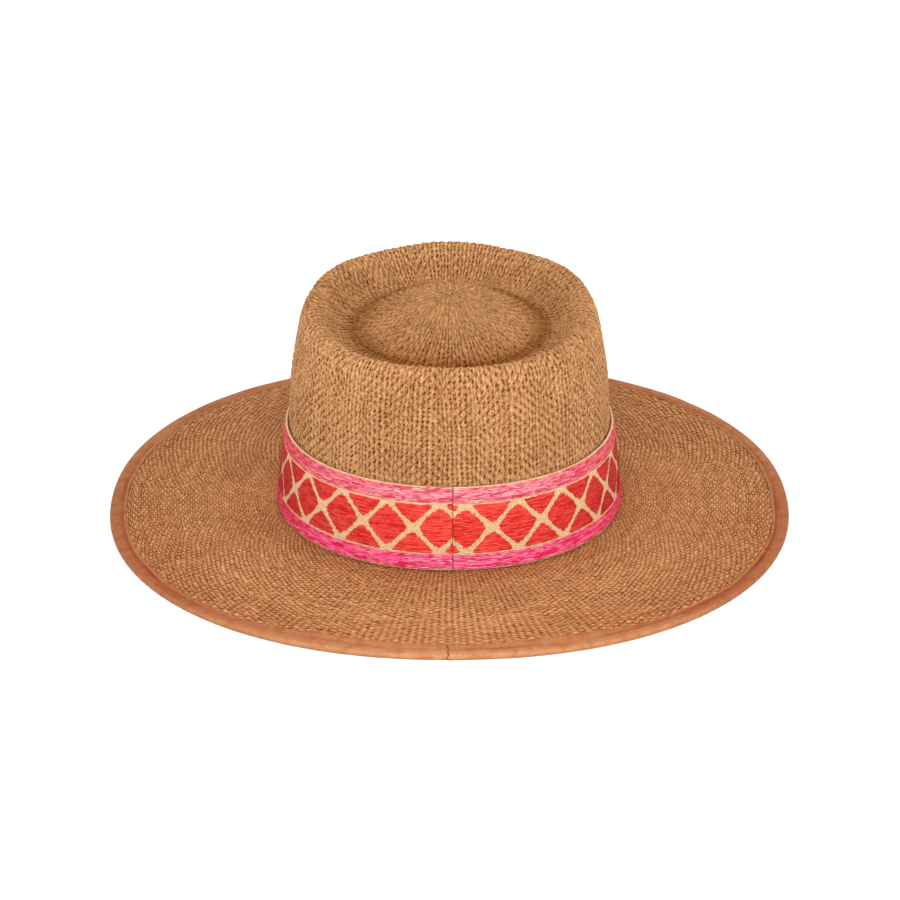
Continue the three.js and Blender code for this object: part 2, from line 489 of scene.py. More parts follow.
# Strands: u counts the strands and runs across each, v runs along it in centimetres.
# Fibres, slubs, the twist of the yarn and a tint for each strand come from these two.
def strandMaterial(name, look):
    mat, tree, shader = newMaterial(name)
    _, u, run = uvPlaces(tree)
    index, own, across = strandPlaces(tree, u)
    fibreU, fibreV = times(tree, u, look["fibresAcross"]), times(tree, run, look["fibreRun"])
    fibres = noise(tree, together(tree, fibreU, fibreV, own), 1.0, 3.0, 0.6)
    slubU, slubV = times(tree, index, look["indexStep"]), times(tree, run, look["slubRun"])
    slubs = noise(tree, together(tree, slubU, slubV, 0.0), 1.0, 1.0)
    place = addNode(tree, "TexCoord").outputs["Object"]
    patches = noise(tree, place, look["patchScale"], 2.0)
    tints = [look["fibreTint"], look["slubTint"], look["ownTint"], look["patchTint"]]
    mix = times(tree, fibres, tints[0])
    for source, tint in zip((slubs, own, patches), tints[1:]):
        mix = addShare(tree, mix, source, tint)
    color = ramp(tree, maths(tree, "DIVIDE", mix, sum(tints)), look["colors"])
    # painted shade from the tone attribute, and on the brim painted red light from the band
    color = shaded(tree, color, pointValue(tree, "tone"), look["shaded"])
    # painted shade in the crease of the twist, which leans across each strand
    phase = times(tree, run, look["twist"])
    phase = addShare(tree, phase, across, look["lean"])
    phase = addShare(tree, phase, slubs, look["slubTwist"])
    phase = addShare(tree, phase, own, look["ownTwist"])
    crease = times(tree, maths(tree, "PINGPONG", phase, 0.5), 1 / look["creaseWidth"])
    crease = maths(tree, "SUBTRACT", 1.0, crease, clamp=True)
    color = shaded(tree, color, times(tree, crease, look["creaseShade"]), look["strandShadeColor"])
    # painted shade towards each strand's edges
    edge = maths(tree, "ABSOLUTE", maths(tree, "SUBTRACT", across, 0.5))
    edge = maths(tree, "POWER", times(tree, edge, 2.0), look["edgePower"])
    color = shaded(tree, color, times(tree, edge, look["edgeShade"]), look["strandShadeColor"])
    # painted shade in the gaps and holes between strands
    gap = maths(tree, "POWER", pointValue(tree, "gap"), look["gapSpread"])
    gap = maths(tree, "MULTIPLY", gap, look["gapDark"], clamp=True)
    color = shaded(tree, color, gap, look["gapShadeColor"])
    rough = addShare(tree, look["roughness"], fibres, look["fibreRough"])
    rough = maths(tree, "ADD", rough, times(tree, gap, look["gapRough"]), clamp=True)
    height = maths(tree, "SUBTRACT", times(tree, fibres, look["fibreBump"]), crease)
    finishShader(tree, shader, look, color, rough, height)
    return mat


# crown
crown = {
    "sections": [
        (89.7, 96.5, 4.7, 4.7, 2.10, 1.5),
        (87.3, 93.9, 26, 26, 2.08, 1.5),
        (84.9, 91.4, 48.5, 48.5, 2.06, 1.5),
        (83.6, 90.2, 70, 72.4, 2.08, 1.5),
        (81.8, 88.7, 82.6, 87.6, 2.12, 1.5),
        (79.3, 86.5, 94, 103.2, 2.16, 1.5),
        (78.2, 85.6, 98.6, 108.4, 2.18, 1.5),
        (76.3, 83.8, 102.6, 112.6, 2.18, 1.5),
        (72.0, 79.2, 105.4, 115.6, 2.16, 1.5),
        (66.6, 73.5, 103.2, 113.4, 2.16, 1.5),
        (62.0, 68.6, 99, 109.2, 2.16, 1.6),
        (57.8, 64.2, 95.2, 105.4, 2.16, 1.9),
        (51.2, 57.2, 93.2, 103.2, 2.14, 2.4),
        (44.4, 49.8, 94.4, 104.4, 2.10, 3.6),
        (33.6, 37.8, 98.6, 107.8, 2.05, 7.0),
        (20.0, 22.4, 103.8, 110.6, 2.0, 13.5),
        (0, 0, 110.8, 110.8, 2.0, 22.5),
    ],
    "columns": 224,
    "skips": [(46, 2), (20, 4), (9, 8), (4, 28)],  # half width, columns to the next one there
    "start": -math.pi / 2,
    "rowPitch": 2.7,
    "rowsFrom": 0.5,
    "rowsTo": 1.2,  # from the tip
    "columnLift": 0.42, "rowLift": 0.38, "columnRise": 0.13, "edgeDrop": 0.62,
    "columnWidth": 1.2, "columnPinch": 0.1,
    "rowWidth": 1.18, "rowPinch": 0.08,
    "slub": 0.1, "lumps": 0.09,
    "wander": 0.12, "stray": 0.3,
    "sway": 0.26, "drift": 0.4,
    # the shades, grooves, gapsKept and holes below set the painted shade of the gaps between
    # strands
    "gapShade": 0.8, "columnGroove": 0.3,
    "rowGrooves": [(0, 0), (116, 0), (128, 0.45), (160, 0.5), (172, 0.2), (210, 0.1)],
    "strayKept": [(0, 1), (135, 1), (160, 0.3)],
    "gapsKept": [
        (0, 1, 1), (130, 1, 1), (138, 1, 0.7), (161, 1, 0.6), (170, 0.6, 0.45), (180, 0.3, 0.3),
    ],
    "underShade": 0.25, "midShade": 0.08, "overShade": 0.0, "beadEnds": 0.3,
    "ribReach": 60, "ribShade": 0.0, "ribCalm": 0.0,
    "holesAbove": 2.1, "holeLines": 0.7, "holeDepth": 0.1,
    "open": [(-90, 54, 44, 112, 1.9), (92, 26, 104, 134, 2.5), (-90, 70, 118, 150, 1.1)],
    "ridgeAt": 108, "ridgeSpread": 12,
    "ridgeLifts": [(90, 22, 2.5), (38, 20, 2.0), (142, 20, 2.0), (270, 55, 2.2)],
    "tipAside": 0.6, "asideFrom": 145, "asideOver": 40,
    "knot": {"strands": 3, "turn": 20, "reach": (3.2, 3.4), "width": 1.7, "index": 5000},
    "grooveRing": (53.0, 50.0, 3.5),  # half width, half length, centre
    # painted shade in and round the groove: place on the ring from its middle, and how dark
    "grooveTones": [
        (0, 0.22), (0.3, 0.27), (0.5, 0.31), (0.65, 0.37), (0.77, 0.53), (0.89, 0.82),
        (0.95, 1.06), (1.01, 0.8), (1.07, 0.45), (1.13, 0.34), (1.25, 0.24), (1.36, 0.16),
        (1.5, 0),
    ],
    # how dark this painted shade is at the back, left, right and front
    "grooveSides": (1.05, 0.9, 0.95, 0.8),  # how dark at the back, left, right and front
    "sidesBeyond": 0.5,
    "tonesFrom": 84, "tonesOver": 8,  # only the top has these tones
}
strawLook = {
    "colors": [
        (0.3, (156, 109, 67)),
        (0.46, (185, 137, 90)),
        (0.56, (199, 151, 102)),
        (0.72, (210, 168, 123)),
    ],
    "fibresAcross": 3.0, "fibreRun": 4.0, "slubRun": 3.2, "patchScale": 24.0,
    "indexStep": 7.31,  # so that the slubs of two strands don't match
    "fibreTint": 0.7, "slubTint": 1.2, "ownTint": 0.35, "patchTint": 0.5,
    "twist": -1.7, "lean": 2.2, "slubTwist": 1.2, "ownTwist": 7.0,
    "creaseWidth": 0.2, "creaseShade": 0.5,
    # the edge colour is that of the painted shade at the strands' edges and in their crease, the
    # shaded one that of the painted shade in and round the groove
    "edgeShade": 0.5, "edgePower": 2.5, "strandShadeColor": (150, 96, 60), "shaded": (180, 153, 112),
    "roughness": 0.6, "fibreRough": 0.25, "gapRough": 0.2, "specular": 0.07,
    "bump": 0.8, "bumpDepth": 0.25 * mm, "fibreBump": 0.6,
    # the gap colour is that of the painted shade in the gaps between strands
    "gapDark": 1.5, "gapSpread": 1.3, "gapShadeColor": (136, 82, 14),
}


# Lifts of the ridge are (turn, reach, height): a little at the back, at the front and at its
# two front corners. The tip stands slightly to the right.
def crownShaping(angle, s):
    turn = np.degrees(angle) % 360
    lift = np.zeros(turn.shape)
    for centre, reach, height in crown["ridgeLifts"]:
        lift += height * hill(turn - centre, reach)
    shift = np.zeros(turn.shape + (3,))
    shift[..., 2] = lift * hill(s - crown["ridgeAt"], crown["ridgeSpread"])
    aside = np.clip((s - crown["asideFrom"]) / crown["asideOver"], 0, 1)
    shift[..., 0] = crown["tipAside"] * aside
    return shift


crownCurve = sectionCurve(crown["sections"], flatEnd=True)
crownCurve["shaping"] = crownShaping
crownCurve["outside"] = 1


def zonesByWidth(curve, places, limits):
    widths = sectionAt(curve, places)[:, 0]
    marks = [0] + [int(np.argmax(widths < limit)) for limit, _ in limits] + [len(places) - 1]
    skips = [1] + [skip for _, skip in limits]
    return [(a, b, skip) for a, b, skip in zip(marks, marks[1:], skips) if b > a]


def buildCrown():
    places = np.arange(crown["rowsFrom"], crownCurve["end"] - crown["rowsTo"], crown["rowPitch"])
    zones = zonesByWidth(crownCurve, places, crown["skips"])
    columns, rows = weave(crownCurve, crown, places, zones)
    layers = (joined([columns, tipKnot()]), rows)
    layStraw("crown", layers, paintedGrooveShade, strandMaterial("crownStraw", strawLook))


# three short strands cross over the middle of the tip
def tipKnot():
    knot = crown["knot"]
    centre = pointAt(crownCurve, 0.0, crownCurve["end"])
    parts = []
    for k in range(knot["strands"]):
        turn = math.radians(knot["turn"] + 180 / knot["strands"] * k)
        t = np.linspace(-1, 1, 7)
        x = np.cos(turn) * t * knot["reach"][0]
        y = np.sin(turn) * t * knot["reach"][1]
        line = np.stack([x, y, 0.5 - 0.7 * t**2 + 0.12 * k], -1)[None]
        across = np.broadcast_to([-math.sin(turn), math.cos(turn), 0.0], line.shape)
        out = np.broadcast_to([0.0, 0.0, 1.0], line.shape)
        width = np.full((1, 7), knot["width"])
        parts.append(ribbons(centre + line, across, out, width, 0.3, knot["index"] + k))
    return joined(parts)


# painted shade: the pressed groove round the tip, with the dome inside it and the inner walls, is
# darker than the rest, most of all at the back
def paintedGrooveShade(points):
    x, y, z = points.T
    halfWidth, halfLength, centre = crown["grooveRing"]
    ring = np.hypot(x / halfWidth, (y - centre) / halfLength)
    away = np.maximum(np.hypot(x, y), 1)
    c, d = x / away, y / away
    back, left, right, front = crown["grooveSides"]
    side = np.where(c < 0, left, right) * c**2 + np.where(d < 0, back, front) * d**2
    tone = fromTable(ring, crown["grooveTones"])
    tone = tone * np.where(ring > crown["sidesBeyond"], side, 1)
    return tone * np.clip((z - crown["tonesFrom"]) / crown["tonesOver"], 0, 1)


buildCrown()

# brim
brim = {
    "sections": [
        (86.6, 93.4, 3.6, 3.6, 2.1, 1.5),
        (130, 137.8, 3.6, 3.6, 2.12, 0.8),
        (160, 168.8, 3.6, 3.6, 2.13, 0.3),
        (168.5, 177.5, 3.45, 3.45, 2.13, 0.2),
        (172, 181.1, 2.5, 2.5, 2.13, 0.2),
        (175, 184.1, 1.8, 1.8, 2.13, 0.2),
        (180.1, 189.2, 1.7, 1.7, 2.13, 0.2),
    ],
    "columns": 300,
    "start": -math.pi / 2,
    "rowPitch": 1.3,
    "rowsFrom": 0.8,
    "rowsTo": 3.5,  # from the edge
    "columnLift": 0.1, "rowLift": 0.36, "columnRise": -0.1, "edgeDrop": 0.5,
    "columnWidth": 1.26, "columnPinch": 0.02,
    "rowWidth": 1.38, "rowPinch": 0.22,
    "slub": 0.08, "lumps": 0.1,
    "wander": 0.08, "stray": 0.42,
    "sway": 0.2, "drift": 0.3,
    # the shades, grooves, gapsKept and holes below set the painted shade of the gaps between
    # strands
    "gapShade": 0.85, "columnGroove": 0.22,
    "rowGrooves": [(0, 0.5), (90, 0.5)],
    "strayKept": [(0, 1), (90, 1)],
    "gapsKept": [(0, 1.08, 0.94), (48, 1, 0.94), (64, 0.84, 0.94), (90, 0.82, 0.94)],
    "underShade": 0.42, "midShade": 0.38, "overShade": 0.38, "beadEnds": 0.3,
    "ribReach": 26, "ribShade": 0.45, "ribCalm": 0.2,  # reach in degrees from the back's middle
    "holesAbove": 1.45, "holeLines": 0.1, "holeDepth": 0.0,
    "open": [(-90, 44, 2, 24, 0.7), (-90, 70, 24, 90, 0.7)],
    # radius, and the painted shade there at the back, beside the back and further round
    "tones": [
        (96, 0.66, 0.4, 0.3), (110, 0.3, 0.12, 0.08), (122, 0.14, 0.03, 0), (148, 0.16, 0.05, 0),
        (160, 0.38, 0.28, 0), (180, 0.4, 0.28, 0),
    ],
    "besideUntil": 95,  # degrees from the middle of the back
    "besideOver": 20,
    "lengthShare": 0.952,
}
brimLook = dict(
    strawLook,
    colors=[
        (0.28, (163, 107, 63)),
        (0.46, (204, 146, 94)),
        (0.56, (218, 161, 109)),
        (0.74, (229, 180, 129)),
    ],
    # the colour of that painted shade and painted red light
    shaded=(216, 184, 170),
    # the edge and gap colours are painted shade here too
    strandShadeColor=(140, 84, 50),
    gapDark=1.65,
    gapShadeColor=(118, 68, 14),
)
brimCurve = sectionCurve(brim["sections"])
brimCurve["outside"] = -1


# painted shade, and painted red light thrown back from the band: the straw is redder and darker by
# the band, and darker by the binding
def brimPaintedShade(points):
    x, y = points[:, 0], points[:, 1]
    turn = np.degrees(np.abs(np.arctan2(x, -y)))
    at, back, beside, further = zip(*brim["tones"])
    radius = np.hypot(x, y * brim["lengthShare"])
    atBack = hill(turn, brim["ribReach"])
    isBeside = np.clip((brim["besideUntil"] - turn) / brim["besideOver"], 0, 1)
    rest = np.interp(radius, at, beside) * isBeside
    rest = rest + np.interp(radius, at, further) * (1 - isBeside)
    return np.interp(radius, at, back) * atBack + rest * (1 - atBack)


def buildBrim():
    places = np.arange(brim["rowsFrom"], brimCurve["end"] - brim["rowsTo"], brim["rowPitch"])
    layers = weave(brimCurve, brim, places, [(0, len(places) - 1, 1)])
    layStraw("brim", layers, brimPaintedShade, strandMaterial("brimStraw", brimLook))


buildBrim()

# hat band
band = {
    "standoff": 2.3,  # outer face from the middle of the straw
    "wall": 1.2,
    "foot": 0.3,  # places along the crown's side
    "top": 43.8,
    "slack": 0.22,
    "seamAngle": math.radians(-89.0),
    "seamDepth": 0.3, "seamWidth": 0.3,
    "hem": 1.2,  # how far the canvas reaches below the foot
    "steps": 540,
    "waves": 96,
    "outside": 1.026,  # the cloth is longer than the straw's middle, as it lies outside it
}
bandHeight = band["top"] - band["foot"]
seamTurn = np.linspace(0, 2 * math.pi, 1441)
bandMiddle = pointAt(crownCurve, band["seamAngle"] + seamTurn, (band["foot"] + band["top"]) / 2)
seamLength = np.cumsum(np.linalg.norm(np.diff(bandMiddle, axis=0), axis=1))
seamLength = np.r_[0, seamLength] * band["outside"]
bandLength = seamLength[-1]
bandWave = unevenness((band["waves"], 3), 3.0, 0.8)


# a place on the band's outer face: x runs round from the seam, v up from the foot
def onBand(x, v, lift):
    angle = band["seamAngle"] + np.interp(x % bandLength, seamLength, seamTurn)
    p, around, along, out = frameAt(crownCurve, angle, band["foot"] + v)
    place = (x % bandLength) / bandLength * band["waves"]
    k = place.astype(int) % band["waves"]
    nextWave = bandWave[(k + 1) % band["waves"], 0]
    wave = bandWave[k, 0] + (nextWave - bandWave[k, 0]) * (place % 1)
    fromSeam = np.minimum(x % bandLength, bandLength - x % bandLength)
    crease = band["seamDepth"] * hill(fromSeam, band["seamWidth"])
    slack = band["slack"] * np.maximum(wave, -1) * np.clip(v / bandHeight, 0, 1)
    return p + out * (band["standoff"] + slack - crease + lift)[..., None], around, along, out


def buildBand():
    n = band["steps"]
    # more places near the seam, so that its crease is sharp
    x = bandLength * (np.arange(n) + 0.5) / n
    x = np.sort(np.r_[x, np.linspace(-0.8, 0.8, 17) % bandLength])
    t = np.linspace(0, 1, 15)
    edge = np.array([(0.0, -1.0), (0.05, -0.55), (0.25, -0.16), (0.7, 0.0)])
    hem = [(v - band["hem"], d) for v, d in edge]
    face = [(0.7 + (bandHeight - 1.4) * k, 0.05 * math.sin(math.pi * k)) for k in t[1:-1]]
    top = [(bandHeight - v, d) for v, d in edge[::-1]]
    heights = (bandHeight - 0.2, bandHeight / 2, 0.2 - band["hem"])
    back = [(v, -band["wall"]) for v in heights]
    section = np.array(hem + face + top + back)
    xx, vv = np.meshgrid(x, section[:, 0], indexing="ij")
    points, *_ = onBand(xx, vv, np.broadcast_to(section[:, 1], xx.shape))
    # the canvas is darker along the seam: its joint, and painted shade in its crease
    seam = hill(np.minimum(xx, bandLength - xx), band["seamWidth"])
    canvas = addRing("hat_band_canvas", points, canvasMaterial(), {"tone": seam})
    return finishPiece(canvas, "hat_band")


canvasLook = {
    "colors": [(0.36, (122, 88, 48)), (0.56, (214, 168, 122)), (0.8, (234, 200, 160))],
    # seam: the colour of the seam's joint and of the painted shade in its crease
    "seam": (196, 156, 130),
    "threads": 7.2, "threadShare": 0.45,
    "flecks": 9.0, "fleckShare": 0.8, "wobble": 0.03,
    "roughness": 0.68, "fleckRough": 0.2, "specular": 0.25,
    "bump": 0.9, "bumpDepth": 0.3 * mm,
}


def canvasMaterial():
    look = canvasLook
    mat, tree, shader = newMaterial("bandCanvas")
    uv, _, _ = uvPlaces(tree)
    wobble = addNode(tree, "TexNoise", {"Vector": uv, "Scale": look["flecks"], "Detail": 2.0})
    bent = scaled(tree, wobble.outputs["Color"], (look["wobble"], look["wobble"], 0))
    uv = addNode(tree, "VectorMath", {0: uv, 1: bent}, operation="ADD").outputs[0]
    split = addNode(tree, "SeparateXYZ", {0: uv})
    waves = []
    for socket in (0, 1):
        turn = times(tree, split.outputs[socket], look["threads"] * 2 * math.pi)
        waves.append(maths(tree, "SINE", turn))
    threads = addShare(tree, 0.5, times(tree, *waves), 0.5)
    flecks = noise(tree, uv, look["flecks"], 2.0, 0.6)
    mix = times(tree, flecks, look["fleckShare"])
    mix = addShare(tree, mix, threads, look["threadShare"])
    # the seam's joint and the painted shade in its crease
    color = shaded(tree, ramp(tree, mix, look["colors"]), pointValue(tree, "tone"), look["seam"])
    rough = addShare(tree, look["roughness"], flecks, look["fleckRough"])
    finishShader(tree, shader, look, color, rough, maths(tree, "ADD", threads, flecks))
    return mat


# Embroidery in flat rows of satin floats. Each repeat of the red pattern has a diamond and
# two half diamonds, and a float is laid wherever a row crosses one of them.
stitch = {
    "pitch": 0.9, "width": 1.22, "lift": 0.62, "drop": 0.3,
    "longest": 5.6, "shortest": 0.7, "overlap": 0.3,
    "ragged": 0.45, "cutPlay": 0.8, "rowShift": 0.37,
    "stripeLengths": (4.0, 8.5),
    "seamWidth": 0.32,
    "seamStep": 0.6,  # one side of the pattern sits higher at the seam
    "stepReach": 12,
    # the floats' painted shade grows from shadeFrom to shadeTo
    "shadeFrom": 12,  # degrees from the middle of the back
    "shadeTo": 85,
    "repeats": 21.5,
    "bulge": 1.22,
    "diamond": (10.3, 10.4),  # half width and half height
    "halfDiamond": (10.3, 10.3),
    "redZone": (8.9, 33.7),
    "lowStripe": (0.4, 7.2),
    "topStripe": (35.2, 43.2),
}


def spansOfRow(v):
    low, high = stitch["redZone"]
    repeat = bandLength / stitch["repeats"]
    if not low <= v <= high:
        return []
    spans = []
    for k in range(-1, int(stitch["repeats"]) + 2):
        for centre, height, (halfWidth, halfHeight) in (
            ((k + 0.25) * repeat, (low + high) / 2, stitch["diamond"]),
            ((k + 0.75) * repeat, low - 0.5, stitch["halfDiamond"]),
            ((k + 0.75) * repeat, high + 0.5, stitch["halfDiamond"]),
        ):
            share = 1 - (abs(v - height) / halfHeight) ** stitch["bulge"]
            if share > 0.02:
                reach = halfWidth * share ** (1 / stitch["bulge"])
                spans.append((centre - reach, centre + reach))
    return spans


def floatsOver(spans, v, shift):
    floats = []
    play, overlap = stitch["cutPlay"], stitch["overlap"]
    for a, b in spans:
        a = max(a + rng.uniform(-1, 1) * stitch["ragged"], 0)
        b = min(b + rng.uniform(-1, 1) * stitch["ragged"], bandLength)
        if b - a < 0.9:
            continue
        pieces = max(1, math.ceil((b - a) / stitch["longest"] - 0.2))
        cuts = np.linspace(a, b, pieces + 1)
        cuts[1:-1] += (shift - 0.5) * stitch["longest"] * 0.5 + rng.uniform(-play, play, pieces - 1)
        for p, q in zip(cuts, cuts[1:]):
            if q - p > stitch["shortest"]:
                floats.append((p - overlap * (p > a), q + overlap * (q < b), v))
    return floats


def layFloats(name, floats, material, samples=8):
    f = np.array(floats)
    t = np.linspace(0, 1, samples)
    length = (f[:, 1] - f[:, 0])[:, None]
    head = np.where(f[:, :1] < 0.01, 1, t * length / 0.8)  # full right up to the seam
    tail = np.where(f[:, 1:2] > bandLength - 0.01, 1, (1 - t) * length / 0.8)
    ends = np.minimum(1, 0.3 + np.minimum(head, tail))
    x = f[:, 0, None] + (f[:, 1] - f[:, 0])[:, None] * t
    wave = 0.12 * np.sin(x * 1.3 + rng.uniform(0, 6, (len(f), 1)))
    wave = wave + rng.normal(0, 0.08, (len(f), 1))
    step = stitch["seamStep"] * hill(bandLength - x, stitch["stepReach"])
    v = f[:, 2, None] + wave + step
    low = np.round(f[:, 2, None] / stitch["pitch"]) % 2  # every other row lies lower
    lift = stitch["lift"] * (0.85 + 0.15 * rng.random((len(f), 1)) - 0.25 * low) * np.sqrt(ends)
    mid, _, along, out = onBand(x, v, lift)
    width = stitch["width"] * (0.7 + 0.3 * ends) * rng.uniform(0.88, 1.12, (len(f), 1))
    points, faces, uv, _ = ribbons(mid, along, out, width, stitch["drop"])
    # painted shade where the floats dive into the cloth at their ends and in the seam's crease
    seam = hill(np.minimum(x, bandLength - x), stitch["seamWidth"])
    tuck = np.maximum(0.5 * (1 - ends), seam)
    # painted shade: the floats are darker towards the sides
    turn = np.abs(np.degrees(np.arctan2(mid[..., 0], -mid[..., 1])))
    shadeOver = stitch["shadeTo"] - stitch["shadeFrom"]
    side = np.clip((turn - stitch["shadeFrom"]) / shadeOver, 0, 1)
    tones = {"tuck": np.repeat(tuck[..., None], 3, 2), "side": np.repeat(side[..., None], 3, 2)}
    return finishPiece(addMesh(name, points, faces, uv, tones, material), "hat_band")


# each thread's own colours, the colour of the painted shade at its edges, of its painted glint, and
# of its painted shade at the sides
threadColors = {
    "redThread": {
        "own": [(0.1, (198, 30, 26)), (0.5, (222, 50, 42)), (0.95, (236, 76, 62))],
        "dark": (146, 10, 14), "pale": (248, 104, 88), "sideShadeColor": (196, 122, 138),
    },
    "pinkThread": {
        "own": [(0.1, (196, 56, 78)), (0.5, (212, 82, 104)), (0.95, (230, 128, 142))],
        "dark": (160, 38, 64), "pale": (255, 214, 214), "sideShadeColor": (240, 146, 156),
    },
    "hotPinkThread": {
        "own": [(0.1, (216, 24, 82)), (0.5, (232, 42, 112)), (0.95, (244, 92, 150))],
        "dark": (170, 10, 56), "pale": (252, 186, 204), "sideShadeColor": (240, 160, 160),
    },
}
threadLook = {
    "indexStep": 3.7, "glintRun": 1.4, "glints": (0.42, 0.68), "coreWidth": 3.2,
    "hairsAcross": 4.0, "hairRun": 3.0, "tuckShadeColor": (196, 120, 116),
    "roughness": 0.5, "hairRough": 0.2, "specular": 0.15,
    "bump": 0.5, "bumpDepth": 0.1 * mm,
}


def threadMaterial(name):
    look, colors = threadLook, threadColors[name]
    mat, tree, shader = newMaterial(name)
    _, u, run = uvPlaces(tree)
    index, own, across = strandPlaces(tree, u)
    color = ramp(tree, own, colors["own"])
    fromMiddle = maths(tree, "ABSOLUTE", maths(tree, "SUBTRACT", across, 0.5))
    # painted highlight: a glint along the core of each float
    glintU, glintV = times(tree, index, look["indexStep"]), times(tree, run, look["glintRun"])
    glints = noise(tree, together(tree, glintU, glintV, 3.0), 1.0, 1.0)
    glints = rising(tree, glints, *look["glints"])
    core = times(tree, fromMiddle, look["coreWidth"])
    core = maths(tree, "SUBTRACT", 1.0, core, clamp=True)
    color = mixColors(tree, "MIX", times(tree, core, glints), color, linear(colors["pale"]))
    hairU, hairV = times(tree, u, look["hairsAcross"]), times(tree, run, look["hairRun"])
    hairs = noise(tree, together(tree, hairU, hairV, 0.0), 1.0, 2.0)
    # painted shade towards each float's edges, broken up by the hairs
    edge = maths(tree, "POWER", times(tree, fromMiddle, 2.0), 3.0)
    edge = addShare(tree, edge, hairs, 0.5)
    edge = maths(tree, "SUBTRACT", edge, 0.15, clamp=True)
    color = mixColors(tree, "MIX", edge, color, linear(colors["dark"]))
    # painted shade towards the sides
    color = shaded(tree, color, pointValue(tree, "side"), colors["sideShadeColor"])
    # painted shade at the float ends and the seam
    color = shaded(tree, color, pointValue(tree, "tuck"), look["tuckShadeColor"])
    rough = addShare(tree, look["roughness"], hairs, look["hairRough"])
    finishShader(tree, shader, look, color, rough, hairs)
    return mat


def stripeFloats(low, high):
    floats = []
    for v in np.arange(low, high, stitch["pitch"]):
        x = 0.0
        while x < bandLength - 0.6:
            length = min(rng.uniform(*stitch["stripeLengths"]), bandLength - x)
            floats.append((x - stitch["overlap"] * (x > 1), x + length, v))
            x += length
    return floats


def buildStitches():
    low, high = stitch["redZone"]
    red = []
    for row, v in enumerate(np.arange(low, high, stitch["pitch"])):
        red += floatsOver(spansOfRow(v), v, (row * stitch["rowShift"]) % 1)
    motifs = layFloats("hat_band_red_stitches", red, threadMaterial("redThread"))
    floats = stripeFloats(*stitch["topStripe"])
    top = layFloats("hat_band_top_stripe", floats, threadMaterial("pinkThread"))
    floats = stripeFloats(*stitch["lowStripe"])
    bottom = layFloats("hat_band_low_stripe", floats, threadMaterial("hotPinkThread"))
    return [motifs, top, bottom]


canvas = buildBand()
buildStitches()

# ribbon bound round the brim's edge
binding = {
    "cut": (0.0225, 1.165),  # width and length of the strip before it is folded
    # the line that it follows, a row of oval sections again, and where its places start
    "sections": [
        (165.0, 174.0, 0, 0, 2.13, 0.2), (175, 184.1, 0, 0, 2.13, 0.2),
        (181.1, 190.2, 0, 0, 2.13, 0.2),
    ],
    "from": 165.0,
    "halfLength": 190.2,
    # distance out and height of each point of the fold, over the top, round the edge and below
    "outerFold": [
        (171.9, 2.35), (172.1, 3.0), (172.6, 3.28), (173.3, 3.26), (174.1, 3.12), (174.6, 2.92),
        (174.85, 2.8), (175.15, 2.8), (175.4, 2.9), (175.9, 3.06), (176.9, 3.2), (178.2, 3.2),
        (179.4, 3.06), (180.3, 2.72), (180.85, 2.2), (181.1, 1.6), (181.1, 1.0), (180.9, 0.45),
        (180.4, 0.12), (179.4, 0.0), (177.2, 0.0), (175.3, 0.03), (174.9, 0.25), (174.5, 0.03),
        (172.6, 0.0), (172.0, 0.2), (171.9, 0.5),
    ],
    # and back along its inner side
    "innerFold": [
        (172.3, 0.6), (173.4, 0.5), (175.0, 0.62), (177.2, 0.5), (179.3, 0.5), (180.2, 0.75),
        (180.55, 1.2), (180.4, 1.9), (179.8, 2.35), (178.2, 2.65), (176.2, 2.62), (175.0, 2.3),
        (174.0, 2.6), (172.6, 2.72),
    ],
    "topAbove": 1.5,
    "grooveAt": 175.0,  # where the line of stitching is pressed in
    "grooveIn": 0.7,
    "lipIn": 3.2,  # the lip is wider at the back, and higher there
    "lipUp": 0.9,
    "steps": 960,
    "jointAt": -0.9,  # right or left of the middle of the back
    "jointReach": 3.0, "jointSteps": 31,
    "lap": 0.35, "cutWidth": 0.32,
    # degrees from the middle of the back, and how dark the ribbon's painted shade is there
    "outerShades": [
        (0, 0), (20, 0.19), (32, 0.26), (47, 0.66), (64, 0.83), (90, 0.75), (112, 0.48),
        (135, 0.6), (180, 0.62),
    ],
    "topShadeRises": [(0, 0.3), (20, 0.33), (32, 0.38), (47, 0.36), (64, 0.05), (90, 0)],
    "lipTones": [
        (0, 0.6), (20, 0.62), (32, 0.8), (47, 0.75), (64, 0.62), (90, 0.55), (112, 0.45),
        (135, 0.6), (180, 0.62),
    ],
    "grooveTones": [
        (0, 0.5), (20, 0.32), (32, 0.3), (47, 0.18), (64, 0.33), (90, 0.32), (180, 0.35),
    ],
    "grooveOuts": [(0, 0), (24, 0), (34, 0.6), (55, 0.9), (68, 0.5), (84, 0)],
    "darkest": 1.4,
}
bindingCurve = sectionCurve(binding["sections"])
bindingCurve["outside"] = -1


# painted shade on the binding: darker away from the middle of the back, on its lip, on its top and
# in the groove of its stitching
def bindingPaintedShade(b, section, turn, pucker):
    isTop = section[:, 1] > b["topAbove"]
    fromGroove = section[:, 0] - b["grooveAt"]
    atGroove = hill(fromGroove, np.where(fromGroove < 0, 0.6, 1.1)) * isTop
    atGroove = atGroove * np.clip(0.9 + 0.5 * pucker, 0.2, 1.5)
    onTop = np.clip((180.6 - section[:, 0]) / 1.4, 0, 1) * isTop
    outerShade = fromTable(turn, b["outerShades"]) + fromTable(turn, b["topShadeRises"]) * onTop
    lipShade = fromTable(turn, b["lipTones"])
    tone = np.where(section[:, 0] < 174.3, lipShade, outerShade)
    tone = tone + fromTable(turn, b["grooveTones"]) * atGroove
    return np.clip(tone / b["darkest"], 0, 1)


